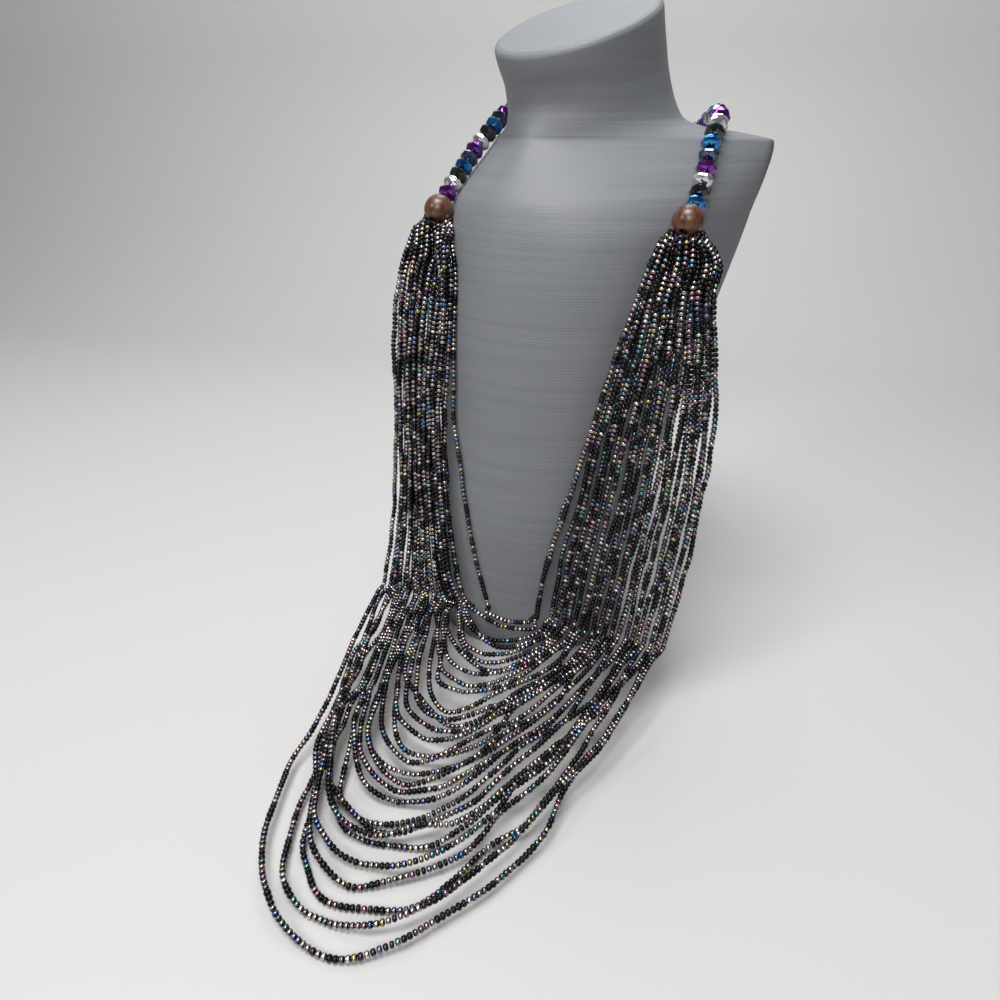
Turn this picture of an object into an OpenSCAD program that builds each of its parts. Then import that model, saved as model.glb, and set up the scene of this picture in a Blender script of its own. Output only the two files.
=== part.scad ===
// Multi strand seed bead necklace lying on a plain neck bust.
// Millimetres, Z up. The origin is the middle of the bust's foot, on the floor.
// The bust faces -Y. The necklace slips over the head, so it has no clasp.

/* [Bust] */
// height of the shoulder line above the floor
shoulder_h = 215; // [205:1:228]
// height of the neck above the shoulder line
neck_h = 39.4; // [32:0.2:60]
// width across the shoulders
shoulder_w = 139; // [128:1:150]
// width of the neck
neck_w = 64; // [56:1:67]
// width of the foot
foot_w = 92; // [80:1:104]
// how far the foot reaches forward of its widest line
foot_front = 46; // [40:1:50]
// how far the foot reaches back of its widest line
foot_back = 34; // [28:1:40]
// how far the chest reaches forward of the shoulder line
chest_front = 79; // [70:1:84]
// how far the shoulder line stands behind the middle of the foot
shoulder_y = 64; // [58:1:70]
// how far the neck stands behind the middle of the foot
neck_y = 33; // [29:1:37]
// tilt of the neck's cut top, higher at the back, in degrees
neck_tilt_deg = 22; // [0:0.5:30]

/* [Beads] */
// width of the two wood beads
wood_d = 12; // [11:0.5:13]
// bore of the two wood beads
wood_bore = 3; // [2:0.5:4]
// number of cut crystals behind the neck
crystal_count = 49; // [47:1:51]
// width of the cut crystals
crystal_d = 8; // [6:0.5:9]
// width of the flat table at each end of a crystal
table_d = 3.8; // [3:0.1:4.2]
// bore of the crystals
crystal_bore = 1.4; // [1.2:0.1:2]
// thickness of the thread
thread_d = 0.4; // [0.3:0.05:0.5]
// gap between two beads on the thread
bead_gap = 0.6; // [0.5:0.05:0.8]

/* [Strands] */
// width of a strand of seed beads
seed_d = 2; // [1.6:0.1:2]
// how far the longest strand reaches over the floor, in front of the necklace's own middle
long_reach = 184; // [176:1:200]
// how far the shortest strand reaches over the floor
short_reach = 36.5; // [36:0.5:38]
// how far the outermost strands hang out to each side
hang_half = 71.5; // [70:0.5:78]
// gap kept between two strands that lie side by side
side_gap = 0.1; // [0.05:0.05:0.4]
// gap between a strand and the bust or the floor
lie_gap = 0.2; // [0.1:0.05:0.4]
// how far the necklace hangs swung round the bust, in degrees
swing_deg = 18; // [14:1:22]
// how far the necklace's middle lies to the right of the foot's middle
worn_right = 15.2; // [12:0.2:18]
// how far the necklace's middle lies before the foot's middle
worn_front = 4.1; // [3:0.1:6]

/* [Hidden] */
strand_count = 30;
// crystals of each side that are pieces of their own, up to where the neck hides them
shown_each_side = 11;
hidden_from = shown_each_side;
hidden_to = crystal_count - shown_each_side - 1;
bust_sides = 28;
tube_sides = 8;

foot_line = (foot_front - foot_back) / 2;
neck_r = neck_w / 2;
neck_slant = tan(neck_tilt_deg);

// columns: height, width, line, front, back, power
// height is a share of shoulder_h, width goes from the foot's to the shoulders',
// line goes from the foot's widest line to the shoulder line, front goes from
// foot_front to chest_front, back is a share of foot_back
torso_rows = [
    [0.000, 0.00, 0.00, 0.00, 1.00, 2.10],
    [0.014, 0.04, 0.00, 0.03, 1.03, 2.10],
    [0.209, 0.12, 0.12, 0.18, 1.00, 2.10],
    [0.442, 0.31, 0.33, 0.39, 1.00, 2.00],
    [0.651, 0.58, 0.60, 0.76, 0.88, 2.00],
    [0.814, 0.83, 0.79, 0.97, 0.71, 1.90],
    [0.874, 0.92, 0.86, 1.00, 0.65, 1.70],
    [0.921, 0.98, 0.93, 0.90, 0.59, 1.45],
    [0.958, 1.00, 0.98, 0.77, 0.53, 1.28],
    [0.979, 0.97, 1.00, 0.68, 0.50, 1.22]
];

// columns: height, width, line, front, back, power, slant
// height is a share of neck_h above the shoulder line, width and front go from
// the neck's to the shoulders', line goes from the neck's axis to the shoulder
// line, back is a share of the neck's half width, slant is a share of neck_slant
neck_rows = [
    [-0.050, 0.69, 0.90, 0.68, 0.56, 1.33, 0.00],
    [0.015, 0.32, 0.58, 0.436, 0.72, 1.52, 0.00],
    [0.076, 0.17, 0.40, 0.29, 0.86, 1.66, 0.00],
    [0.160, 0.10, 0.28, 0.185, 0.94, 1.76, 0.10],
    [0.300, 0.04, 0.145, 0.077, 0.98, 1.92, 0.25],
    [0.520, 0.00, 0.01, 0.02, 0.99, 2.00, 0.53],
    [0.790, 0.00, -0.13, 0.00, 0.99, 2.00, 0.90],
    [0.940, 0.00, -0.19, 0.00, 0.99, 2.00, 1.00],
    [0.980, -0.02, -0.21, -0.015, 0.96, 2.00, 1.00],
    [1.000, -0.06, -0.22, -0.05, 0.92, 2.00, 1.00]
];

function mix(a, b, t) = a + (b - a) * t;

// z, half width, widest line, front reach, back reach, power, slant
bust_rows = concat(
    [for (r = torso_rows) [
        r[0] * shoulder_h,
        mix(foot_w, shoulder_w, r[1]) / 2,
        mix(foot_line, shoulder_y, r[2]),
        mix(foot_front, chest_front, r[3]),
        r[4] * foot_back,
        r[5],
        0
    ]],
    [for (r = neck_rows) [
        shoulder_h + r[0] * neck_h,
        mix(neck_w, shoulder_w, r[1]) / 2,
        mix(neck_y, shoulder_y, r[2]),
        mix(neck_r, chest_front, r[3]),
        r[4] * neck_r,
        r[5],
        r[6] * neck_slant
    ]]
);

// one point of a section, a rounded diamond to ellipse by its power
function section_point(r, turn) =
    let (
        across = cos(turn),
        along = sin(turn),
        reach = along > 0 ? r[4] : r[3],
        size = pow(pow(abs(across / r[1]), r[5]) + pow(abs(along / reach), r[5]), -1 / r[5]),
        y = r[2] + size * along
    )
    [size * across, y, r[0] + r[6] * (y - neck_y)];

function bust_column(n) = [for (r = bust_rows) [r[0], r[n]]];
half_by_z = bust_column(1);
line_by_z = bust_column(2);
front_by_z = bust_column(3);
power_by_z = bust_column(5);

// the bust's front face at x and z
function bust_face(x, z) =
    let (
        half = lookup(z, half_by_z),
        line = lookup(z, line_by_z),
        front = lookup(z, front_by_z),
        power = lookup(z, power_by_z)
    )
    abs(x) < half
    ? line - front * pow(1 - pow(abs(x) / half, power), 1 / power)
    : shoulder_y + shoulder_w;

// a closed skin over rings of equal size, its first ring at the low end
function skin_points(rings) = [for (ring = rings) each ring];
function skin_faces(count, sides) = concat(
    [[for (i = [0 : sides - 1]) i]],
    [for (j = [0 : count - 2], i = [0 : sides - 1])
        [j * sides + i, (j + 1) * sides + i, (j + 1) * sides + (i + 1) % sides, j * sides + (i + 1) % sides]],
    [[for (i = [0 : sides - 1]) count * sides - 1 - i]]
);

// the necklace's own middle, on the floor between the wood beads
function worn(p) = [
    worn_right + p[0] * cos(swing_deg) - p[1] * sin(swing_deg),
    -worn_front + p[0] * sin(swing_deg) + p[1] * cos(swing_deg),
    p[2]
];
function unworn(p) =
    let (
        x = p[0] - worn_right,
        y = p[1] + worn_front
    )
    [x * cos(swing_deg) + y * sin(swing_deg), y * cos(swing_deg) - x * sin(swing_deg), p[2]];

// the route of the crystal string round behind the neck, from wood bead to wood bead
// columns: across, front, up
// across is a share of the bust's half width at that height, front is a share of
// chest_front before the shoulder line, and up is a share of neck_h above that line or
// of shoulder_h below it
crystal_route = [
    [0.930, 0.654, -0.140],
    [0.903, 0.566, -0.116],
    [0.880, 0.516, -0.095],
    [0.860, 0.467, -0.073],
    [0.839, 0.415, -0.049],
    [0.825, 0.368, -0.025],
    [1.174, 0.293, 0.000],
    [1.397, 0.214, 0.085],
    [1.342, 0.149, 0.112],
    [1.261, 0.084, 0.114],
    [1.139, 0.010, 0.096],
    [0.979, -0.068, 0.067],
    [0.756, -0.154, 0.019],
    [0.435, -0.218, -0.011],
    [0.247, -0.266, -0.023],
    [0.058, -0.290, -0.029],
    [-0.130, -0.284, -0.027],
    [-0.284, -0.251, -0.019],
    [-0.552, -0.190, -0.003],
    [-0.890, -0.105, 0.071],
    [-1.022, -0.005, 0.114],
    [-1.113, 0.105, 0.149],
    [-1.160, 0.246, 0.173],
    [-1.091, 0.410, 0.119],
    [-0.769, 0.548, -0.002],
    [-0.558, 0.668, -0.036],
    [-0.542, 0.781, -0.067],
    [-0.525, 0.904, -0.100],
    [-0.514, 1.027, -0.140]
];
function route_point(r) =
    let (z = shoulder_h + r[2] * (r[2] > 0 ? neck_h : shoulder_h))
    [r[0] * lookup(z, half_by_z), shoulder_y - r[1] * chest_front, z];
right_place = route_point(crystal_route[0]);
left_place = route_point(crystal_route[len(crystal_route) - 1]);
// the wood beads' places seen from the necklace's own middle
wood_right = unworn(right_place);
wood_left = unworn(left_place);

function unit(v) = v / norm(v);
function heading(path, i) =
    i == 0 ? unit(path[1] - path[0])
    : i == len(path) - 1 ? unit(path[i] - path[i - 1])
    : unit(unit(path[i] - path[i - 1]) + unit(path[i + 1] - path[i]));
// carries one side direction along the path without twist
function carried(path, side, i = 0) =
    let (
        along = heading(path, i),
        here = unit(side - along * (side * along))
    )
    i == len(path) - 1 ? [here] : concat([here], carried(path, here, i + 1));

module tube(path, widths, first_side) {
    sides = carried(path, first_side);
    rings = [for (i = [0 : len(path) - 1])
        let (
            along = heading(path, i),
            a = sides[i],
            b = cross(along, a)
        )
        [for (s = [0 : tube_sides - 1])
            let (turn = 360 * s / tube_sides)
            path[i] + widths[i] / 2 * (a * cos(turn) + b * sin(turn))]];
    polyhedron(skin_points(rings), skin_faces(len(path), tube_sides), convexity = 10);
}

route_steps = 6;
// a smooth curve through the chosen points of a route
function bend_point(a, b, c, d, t) =
    0.5 * (2 * b + (c - a) * t + (2 * a - 5 * b + 4 * c - d) * t * t + (3 * b - a - 3 * c + d) * t * t * t);
function smooth(p) =
    let (
        last = len(p) - 1,
        q = concat([2 * p[0] - p[1]], p, [2 * p[last] - p[last - 1]])
    )
    concat(
        [for (i = [0 : last - 1], s = [0 : route_steps - 1])
            bend_point(q[i], q[i + 1], q[i + 2], q[i + 3], s / route_steps)],
        [p[last]]
    );
function lengths(p, i = 1, sum = 0) =
    i == len(p) ? [sum] : concat([sum], lengths(p, i + 1, sum + norm(p[i] - p[i - 1])));

string_path = smooth([for (r = crystal_route) route_point(r)]);
string_length = lengths(string_path);
string_x = [for (i = [0 : len(string_path) - 1]) [string_length[i], string_path[i][0]]];
string_y = [for (i = [0 : len(string_path) - 1]) [string_length[i], string_path[i][1]]];
string_z = [for (i = [0 : len(string_path) - 1]) [string_length[i], string_path[i][2]]];
string_total = string_length[len(string_length) - 1];
function on_string(s) = [lookup(s, string_x), lookup(s, string_y), lookup(s, string_z)];

crystal_pitch = (string_total - wood_d) / crystal_count;
crystal_l = crystal_pitch - bead_gap;
function crystal_at(i) = wood_d / 2 + crystal_pitch * (i + 0.5);
function along_string(s) =
    unit(on_string(min(s + crystal_l / 2, string_total)) - on_string(max(s - crystal_l / 2, 0)));

// stands what it is given along a direction
module aim(place, along) {
    tilt = acos(along[2]);
    turn = atan2(along[1], along[0]);
    translate(place) rotate([0, tilt, turn]) children();
}

// a rondelle with a table and eight upper and eight lower facets, drilled along its axis
facets = 8;
function corners(width, first, z) = [for (i = [0 : facets - 1])
    let (turn = (i + first) * 360 / facets)
    [width / 2 * cos(turn), width / 2 * sin(turn), z]];
module crystal_shape() {
    half = crystal_l / 2;
    points = concat(corners(table_d, 0, -half), corners(crystal_d, 0.5, 0), corners(table_d, 0, half));
    faces = concat(
        [[for (i = [0 : facets - 1]) i]],
        [for (i = [0 : facets - 1]) [i, facets + i, (i + 1) % facets]],
        [for (i = [0 : facets - 1]) [(i + 1) % facets, facets + i, facets + (i + 1) % facets]],
        [for (i = [0 : facets - 1]) [2 * facets + i, 2 * facets + (i + 1) % facets, facets + i]],
        [for (i = [0 : facets - 1])
            [2 * facets + (i + 1) % facets, facets + (i + 1) % facets, facets + i]],
        [[for (i = [0 : facets - 1]) 3 * facets - 1 - i]]
    );
    difference() {
        polyhedron(points, faces);
        cylinder(h = 2 * crystal_l, d = crystal_bore, center = true, $fn = 48);
    }
}

// blue, jet, silver, purple, dark grey, again and again
crystal_colours = ["#3f6fae", "#17171a", "#c9ccd0", "#6f3f8f", "#4d535e"];
module crystal(i) {
    s = crystal_at(i);
    color(crystal_colours[i % len(crystal_colours)])
        aim(on_string(s), along_string(s)) crystal_shape();
}

module hidden_crystals() {
    for (i = [hidden_from : hidden_to]) crystal(i);
}

module wood_bead(place, along) {
    color("#6e3a26") aim(place, along) difference() {
        sphere(d = wood_d, $fn = 64);
        cylinder(h = 2 * wood_d, d = wood_bore, center = true, $fn = 48);
    }
}
module wood_bead_right() {
    wood_bead(right_place, along_string(wood_d / 2));
}
module wood_bead_left() {
    wood_bead(left_place, along_string(string_total - wood_d / 2));
}

// the thread ends inside the wood beads
thread_in = 0.4 * wood_d;
module thread() {
    right_end = on_string(0) - along_string(wood_d / 2) * thread_in;
    left_end = on_string(string_total) + along_string(string_total - wood_d / 2) * thread_in;
    path = concat(
        [right_end, on_string(0)],
        [for (i = [0 : crystal_count - 1]) on_string(crystal_at(i))],
        [on_string(string_total), left_end]
    );
    color("#b9b4b8") tube(path, [for (p = path) thread_d], [1, 0, 0]);
}

// columns: height, right in, right out, right gap, left in, left out, left gap,
// inner y, outer y, layer, lift
// height is a share of the wood beads', in and out are shares of hang_half,
// gap is the share that one or two loose inner strands keep from the rest,
// y is in front of the necklace's middle as a share of hang_half,
// layer and lift are how far strands lie before and over each other, in strand widths
strand_rows = [
    [0.876, 0.531, 0.902, 0.00, 0.503, 0.830, 0.00, 0.070, 0.140, 1.40, 0.00],
    [0.757, 0.448, 0.960, 0.00, 0.524, 0.860, 0.00, 0.161, 0.196, 1.20, 0.00],
    [0.605, 0.350, 0.990, 0.00, 0.524, 0.870, 0.08, 0.238, 0.224, 1.20, 0.00],
    [0.454, 0.259, 0.990, 0.03, 0.455, 0.870, 0.18, 0.308, 0.266, 1.15, 0.00],
    [0.303, 0.175, 0.962, 0.05, 0.350, 0.870, 0.24, 0.385, 0.336, 1.10, 0.00],
    [0.173, 0.123, 0.920, 0.07, 0.245, 0.880, 0.22, 0.448, 0.455, 1.00, 0.30],
    [0.076, 0.098, 0.885, 0.07, 0.200, 0.905, 0.12, 0.476, 0.559, 0.70, 0.90]
];

// columns: reach, side, bow
// one row for each strand from the shortest to the longest: how far its tip lies
// out over the floor between short_reach and long_reach, how far to the left the
// tip lies as a share of hang_half, and how round its left side is, a lower value
// being blunter
strand_tips = [
    [0.000, -0.03, 0.36], [0.037, 0.00, 0.36], [0.085, 0.04, 0.36], [0.132, 0.07, 0.36],
    [0.159, 0.08, 0.36], [0.180, 0.10, 0.36], [0.205, 0.11, 0.36], [0.230, 0.13, 0.36],
    [0.261, 0.14, 0.36], [0.290, 0.15, 0.36], [0.356, 0.17, 0.36], [0.378, 0.18, 0.36],
    [0.399, 0.18, 0.36], [0.444, 0.20, 0.36], [0.466, 0.20, 0.36], [0.488, 0.21, 0.36],
    [0.514, 0.21, 0.36], [0.566, 0.21, 0.36], [0.593, 0.21, 0.36], [0.617, 0.21, 0.36],
    [0.661, 0.20, 0.36], [0.700, 0.20, 0.36], [0.727, 0.18, 0.36], [0.754, 0.17, 0.36],
    [0.783, 0.15, 0.36], [0.808, 0.14, 0.36], [0.858, 0.11, 0.36], [0.905, 0.08, 0.35],
    [0.953, 0.06, 0.34], [1.000, 0.03, 0.28]
];

// strands side by side under a wood bead, in columns from the inner side outwards
cluster_columns = [3, 4, 4, 4, 4, 4, 4, 3];
cluster_pitch = 1.26 * seed_d;
cluster_forward = 1.7 * seed_d;
cluster_gap = 0.175 * seed_d;
least_drop = 0.21 * wood_d;
layers = 3;
// which layer a strand hangs in, from the back, so that no side's strands hide each other
function layer_of(k, side) = side > 0 ? (layers - k % layers) % layers : k % layers;
function column_start(j) = j == 0 ? 0 : column_start(j - 1) + cluster_columns[j - 1];
function column_of(k, j = 0) = k < column_start(j) + cluster_columns[j] ? j : column_of(k, j + 1);
// place in its column from the back, ordered by layer and then from the outer side in
function rank(k, side) =
    let (
        j = column_of(k),
        first = column_start(j),
        last = first + cluster_columns[j] - 1,
        own = layer_of(k, side)
    )
    len([for (q = [first : last])
        if (layer_of(q, side) < own || (layer_of(q, side) == own && q > k)) q]);
function cluster_place(k, side) =
    let (
        j = column_of(k),
        middle = (len(cluster_columns) - 1) / 2
    )
    [(j - middle) * cluster_pitch * sqrt(3) / 2, ((cluster_columns[j] - 1) / 2 - rank(k, side)) * cluster_pitch];

// side is 1 on the right and -1 on the left
function wood_at(side) = side > 0 ? wood_right : wood_left;
function loose(side) = side > 0 ? 2 : 1;
function share(k, gap, side) =
    let (c = k / (strand_count - 1))
    k < loose(side) ? c : mix(gap, 1, c);

// keeps a strand off the chest
lie = seed_d / 2 + lie_gap;
chest_slack = 1.2;
function clear_of_bust(p, over) =
    let (q = worn(p))
    [q[0], min(q[1], bust_face(q[0], q[2]) - chest_slack * lie) - over, q[2]];

// where a strand starts on the wood bead's lower side
function cap_point(k, side) =
    let (
        wood = wood_at(side),
        spot = cluster_place(k, side),
        off = norm(spot + [0, -cluster_forward]),
        inner = max(0, off - seed_d / 2),
        drop = max(sqrt(max(0, wood_d * wood_d / 4 - inner * inner)), least_drop)
    )
    [wood[0] + side * spot[0], wood[1] - cluster_forward + spot[1], wood[2] - drop - cluster_gap];

function row_point(k, side, r) =
    let (
        s = share(k, side > 0 ? r[3] : r[6], side),
        in = side > 0 ? r[1] : r[4],
        out = side > 0 ? r[2] : r[5]
    )
    [
        side * mix(in, out, s) * hang_half,
        -mix(r[7], r[8], s) * hang_half,
        r[0] * wood_at(side)[2] + layer_of(k, side) * r[10] * seed_d
    ];

// a swell under the wood bead, where the strands leave it: how much wider the
// cluster gets, and how far its middle has then gone from the bead towards the hang
swell_x = 1.1;
swell_y = 1.3;
swell_to = [0.7, -0.14];
ease_inner = 0.42;
ease_outer = 0.72;
ease_y = 0.4;
function swell_point(k, side) =
    let (
        top = cap_point(k, side),
        low = row_point(k, side, strand_rows[0]) - [0, layer_of(k, side) * strand_rows[0][9] * seed_d, 0],
        from = wood_at(side) - [0, cluster_forward, 0],
        to = [side * swell_to[0], swell_to[1]] * hang_half,
        ease_x = mix(ease_inner, ease_outer, k / (strand_count - 1)),
        mid = [mix(from[0], to[0], ease_x), mix(from[1], to[1], ease_y)],
        spot = [mix(top[0], low[0], ease_x), mix(top[1], low[1], ease_y)]
    )
    [mid[0] + swell_x * (spot[0] - mid[0]), mid[1] + swell_y * (spot[1] - mid[1]), mix(top[2], low[2], 0.5)];

// a column of the swell moves forward as one until its back strand is clear of the bust
function back_of(k, side) =
    let (first = column_start(column_of(k)))
    [for (q = [first : first + cluster_columns[column_of(k)] - 1]) if (rank(q, side) == 0) q][0];
function swell_clear(k, side) =
    let (
        back = worn(swell_point(back_of(k, side), side)),
        push = min(0, bust_face(back[0], back[2]) - chest_slack * lie - back[1])
    )
    worn(swell_point(k, side)) + [0, push, 0];

// shares of the way from where a strand lands to its tip
floor_steps = [0.8, 0.36, 0.07];
// how round the right side of each strand is
right_bow = 0.5;
// the shortest strand hangs against the foot, just off the floor
foot_lift = 1.75 * seed_d;
// how far before its hang a strand lands, and how much later the outer ones do
land_out = 1.5 * seed_d;
land_later = seed_d;
// over this way the strands climb on each other, by pile strand widths a layer
climb = 3 * seed_d;
pile = 1.1;
least_way = 0.15 * seed_d;
function tip_y(k) = -mix(short_reach, long_reach, strand_tips[k][0]);
function lift(k) = k == 0 ? foot_lift : 0;
function tip_x(k) = -strand_tips[k][1] * hang_half;
function floor_point(k, side, d) =
    let (
        last = strand_rows[len(strand_rows) - 1],
        land = row_point(k, side, last) - [0, layer_of(k, side) * last[9] * seed_d, 0],
        start = land[1] - land_out - land_later * k / (strand_count - 1),
        way = max(start - tip_y(k), least_way),
        bow = pow(d, side < 0 ? strand_tips[k][2] : right_bow),
        over = layer_of(k, side) * pile * seed_d * min(1, d * way / climb)
    )
    worn([mix(tip_x(k), land[0], bow), tip_y(k) + way * d, lie + lift(k) + over]);

function half_strand(k, side) = concat(
    [worn(cap_point(k, side)), swell_clear(k, side)],
    [for (r = strand_rows) clear_of_bust(row_point(k, side, r), layer_of(k, side) * r[9] * seed_d)],
    [for (d = floor_steps) floor_point(k, side, d)]
);
function reversed(p) = [for (i = [1 : len(p)]) p[len(p) - i]];
function strand_path(k) = concat(
    half_strand(k, 1),
    [worn([tip_x(k), tip_y(k), lie + lift(k)])],
    reversed(half_strand(k, -1))
);

strand_colours = ["#3a3340", "#4a3f52", "#2c2a33"];
// the strands are drawn in thinner where they crowd under the wood beads
drawn_in = 0.8;
drawn_rings = 2;
module strand(k) {
    path = strand_path(k);
    widths = [for (i = [0 : len(path) - 1])
        (seed_d - side_gap) * (min(i, len(path) - 1 - i) < drawn_rings ? drawn_in : 1)];
    color(strand_colours[layer_of(k, -1)]) tube(path, widths, [1, 0, 0]);
}

module bust() {
    rings = [for (r = bust_rows) [for (s = [0 : bust_sides - 1]) section_point(r, 360 * s / bust_sides)]];
    color("#6b6b6b") polyhedron(skin_points(rings), skin_faces(len(bust_rows), bust_sides), convexity = 4);
}

function numbered(name, n) = str(name, n < 10 ? "0" : "", n);
function strand_name(k) = numbered("strand_", k + 1);
shown_crystals = concat(
    [for (i = [0 : hidden_from - 1]) i],
    [for (i = [hidden_to + 1 : crystal_count - 1]) i]
);
function crystal_name(n) = numbered("crystal_", n + 1);

bust();
wood_bead_right();
wood_bead_left();
hidden_crystals();
thread();
for (n = [0 : len(shown_crystals) - 1])
    crystal(shown_crystals[n]);
for (k = [0 : strand_count - 1])
    strand(k);
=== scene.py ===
import math
import random
import bmesh
import bpy
from mathutils import Matrix, Vector


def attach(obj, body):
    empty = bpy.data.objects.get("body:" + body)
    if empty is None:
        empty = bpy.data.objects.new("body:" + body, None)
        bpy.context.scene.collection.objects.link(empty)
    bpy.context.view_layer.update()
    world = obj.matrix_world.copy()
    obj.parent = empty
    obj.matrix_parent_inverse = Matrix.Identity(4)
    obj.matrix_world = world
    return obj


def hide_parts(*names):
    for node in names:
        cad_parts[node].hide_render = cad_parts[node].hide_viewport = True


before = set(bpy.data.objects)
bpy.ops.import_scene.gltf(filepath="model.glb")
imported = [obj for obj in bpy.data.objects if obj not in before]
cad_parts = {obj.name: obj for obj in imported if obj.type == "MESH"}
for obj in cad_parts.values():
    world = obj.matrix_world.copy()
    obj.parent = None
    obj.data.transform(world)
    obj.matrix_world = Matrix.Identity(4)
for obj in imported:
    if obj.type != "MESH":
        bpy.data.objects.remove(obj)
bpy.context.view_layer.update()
scene = bpy.context.scene
mm = 0.001  # the part's own values below are in millimetres

# the camera stands at the right of the bust and looks down on it
view = {
    "place": (196.3, -250.6, 217.2), "turn": 40.3, "down": 26.8, "lens": 27.0, "sensor": 36.0,
    "nearest": 5,
}
cameraData = bpy.data.cameras.new("camera")
cameraData.lens = view["lens"]
cameraData.sensor_width = view["sensor"]
cameraData.clip_start = view["nearest"] * mm
camera = bpy.data.objects.new("camera", cameraData)
camera.location = Vector(view["place"]) * mm
camera.rotation_euler = (math.radians(90 - view["down"]), 0, math.radians(view["turn"]))
scene.collection.objects.link(camera)
scene.camera = camera
print("camera placed")


# node trees

class Wire:
    # one socket of a tree, which can be added, subtracted, multiplied and divided
    def __init__(self, tree, socket):
        self.tree = tree
        self.socket = socket

    def math(self, operation, *others, clamp=False):
        values = dict(enumerate((self,) + others))
        return self.tree.add("ShaderNodeMath", {"operation": operation, "use_clamp": clamp}, values)

    def __add__(self, other):
        return self.math("ADD", other)

    def __sub__(self, other):
        return self.math("SUBTRACT", other)

    def __mul__(self, other):
        return self.math("MULTIPLY", other)

    def __truediv__(self, other):
        return self.math("DIVIDE", other)

    def __rsub__(self, other):
        return (self * -1) + other

    __radd__ = __add__
    __rmul__ = __mul__


class Tree:
    def __init__(self, nodeTree):
        self.nodeTree = nodeTree

    # settings come first, because they decide which sockets a node has
    def add(self, kind, settings=None, values=None, out=0):
        node = self.nodeTree.nodes.new(kind)
        for name, value in (settings or {}).items():
            setattr(node, name, value)
        for name, value in (values or {}).items():
            self.put(node.inputs[name], value)
        return Wire(self, node.outputs[out])

    def put(self, socket, value):
        if isinstance(value, Wire):
            self.nodeTree.links.new(value.socket, socket)
        elif isinstance(value, (list, tuple)) and isinstance(value[0], Wire):
            for one in value:
                self.nodeTree.links.new(one.socket, socket)
        else:
            socket.default_value = value

    def ramp(self, factor, stops, kind="LINEAR"):
        made = self.add("ShaderNodeValToRGB", {}, {"Fac": factor})
        band = made.socket.node.color_ramp
        band.interpolation = kind
        while len(band.elements) < len(stops):
            band.elements.new(0.5)
        for element, (place, colour) in zip(band.elements, stops):
            element.position = place
            element.color = (*colour, 1)
        return made

    def mixColour(self, factor, a, b, blend="MIX"):
        settings = {"data_type": "RGBA", "blend_type": blend}
        return self.add("ShaderNodeMix", settings, {0: factor, 6: a, 7: b}, 2)

    def noise(self, place, scale, detail=3.0, roughness=0.55):
        values = {"Vector": place, "Scale": scale, "Detail": detail, "Roughness": roughness}
        return self.add("ShaderNodeTexNoise", {}, values)

    def stretched(self, place, factors):
        return self.add("ShaderNodeVectorMath", {"operation": "MULTIPLY"}, {0: place, 1: factors})

    def bump(self, height, strength, distance):
        return self.add("ShaderNodeBump", {}, {"Strength": strength, "Distance": distance, "Height": height})


def colour4(colour):
    return (*colour, 1.0)


# a material with one principled shader; fixed holds values that are the same all over
def makeMaterial(name, fixed, build=None):
    material = bpy.data.materials.new(name)
    material.use_nodes = True
    tree = Tree(material.node_tree)
    shader = material.node_tree.nodes["Principled BSDF"]
    for socket, value in fixed.items():
        shader.inputs[socket].default_value = value
    if build:
        place = tree.add("ShaderNodeTexCoord", out="Object")
        for socket, wire in build(tree, place).items():
            tree.put(shader.inputs[socket], wire)
    return material


# shape helpers

def mix(a, b, t):
    return a + (b - a) * t


def lookUp(z, rows, column):
    if z <= rows[0][0]:
        return rows[0][column]
    for low, high in zip(rows, rows[1:]):
        if z <= high[0]:
            return mix(low[column], high[column], (z - low[0]) / (high[0] - low[0]))
    return rows[-1][column]


# a smooth curve through points, paced by the square roots of their distances
def smoothThrough(points, steps):
    points = [Vector(p) for p in points]
    ends = [points[0] * 2 - points[1]] + points + [points[-1] * 2 - points[-2]]
    made = []
    for a, b, c, d in zip(ends, ends[1:], ends[2:], ends[3:]):
        ta, tb = 0.0, math.sqrt((b - a).length)
        tc = tb + math.sqrt((c - b).length)
        td = tc + math.sqrt((d - c).length)
        for step in range(steps):
            t = mix(tb, tc, step / steps)
            ab = a.lerp(b, (t - ta) / (tb - ta))
            bc = b.lerp(c, (t - tb) / (tc - tb))
            cd = c.lerp(d, (t - tc) / (td - tc))
            abc = ab.lerp(bc, (t - ta) / (tc - ta))
            bcd = bc.lerp(cd, (t - tb) / (td - tb))
            made.append(abc.lerp(bcd, (t - tb) / (tc - tb)))
    made.append(points[-1])
    return made


def finishPiece(bm, name, material, smooth=True):
    bmesh.ops.recalc_face_normals(bm, faces=bm.faces)
    mesh = bpy.data.meshes.new(name)
    bm.to_mesh(mesh)
    bm.free()
    for face in mesh.polygons:
        face.use_smooth = smooth
    mesh.materials.append(material)
    piece = bpy.data.objects.new(name, mesh)
    scene.collection.objects.link(piece)
    return piece


def settle(piece, slot, *nodes):
    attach(piece, "root")
    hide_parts(*nodes)


def joinRings(bm, rings, closedEnds=True):
    count = len(rings[0])
    for low, high in zip(rings, rings[1:]):
        for i in range(count):
            j = (i + 1) % count
            bm.faces.new((low[i], low[j], high[j], high[i]))
    if closedEnds:
        bm.faces.new(rings[0][::-1])
        bm.faces.new(rings[-1])


# bust

bust = {
    "shoulderHeight": 215, "neckHeight": 39.4, "shoulderWidth": 139, "neckWidth": 64,
    "footWidth": 92, "footFront": 46, "footBack": 34, "chestFront": 79, "shoulderY": 64,
    "neckY": 33, "neckTilt": 22, "sides": 120, "rowSteps": 5,
    "colour": (0.172, 0.182, 0.196), "darker": 0.80, "lighter": 1.22, "layerHeight": 0.3,
}
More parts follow.
